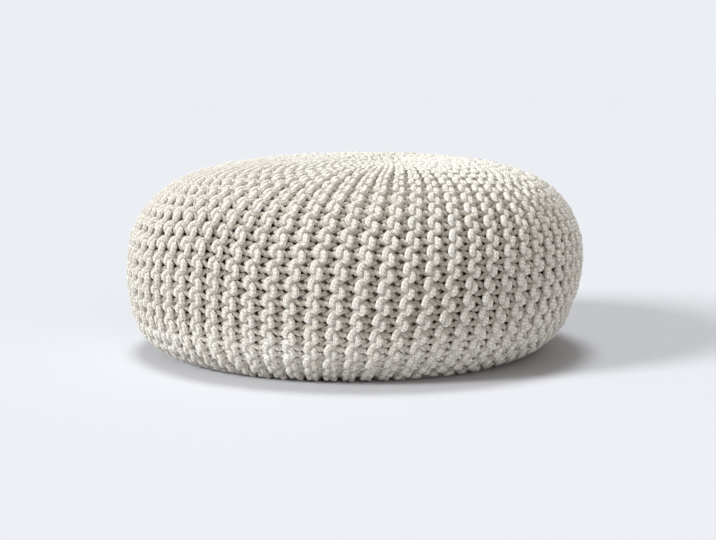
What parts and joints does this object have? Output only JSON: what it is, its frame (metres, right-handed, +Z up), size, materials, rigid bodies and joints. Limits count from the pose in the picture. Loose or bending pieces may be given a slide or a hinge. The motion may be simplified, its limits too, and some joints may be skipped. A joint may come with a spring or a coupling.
{
  "type": "knitted pouf",
  "caption": "Low round knitted pouf of thick off-white cotton cord, its garter-stitch ridges gathered at top and bottom, flat where it stands.",
  "frame": {"origin": "centre of the bounding box, at the floor that the pouf stands on", "axes": "+Z up; -Y towards the side that the lean of the crown is seen from, with the crown leaning to +X"},
  "size_m": [0.6, 0.6, 0.2537],
  "materials": {
    "cotton_cord": "matt off-white cotton cord, knitted"
  },
  "bodies": {
    "root": {"knitted_pouf": "cotton_cord"}
  },
  "joints": []
}
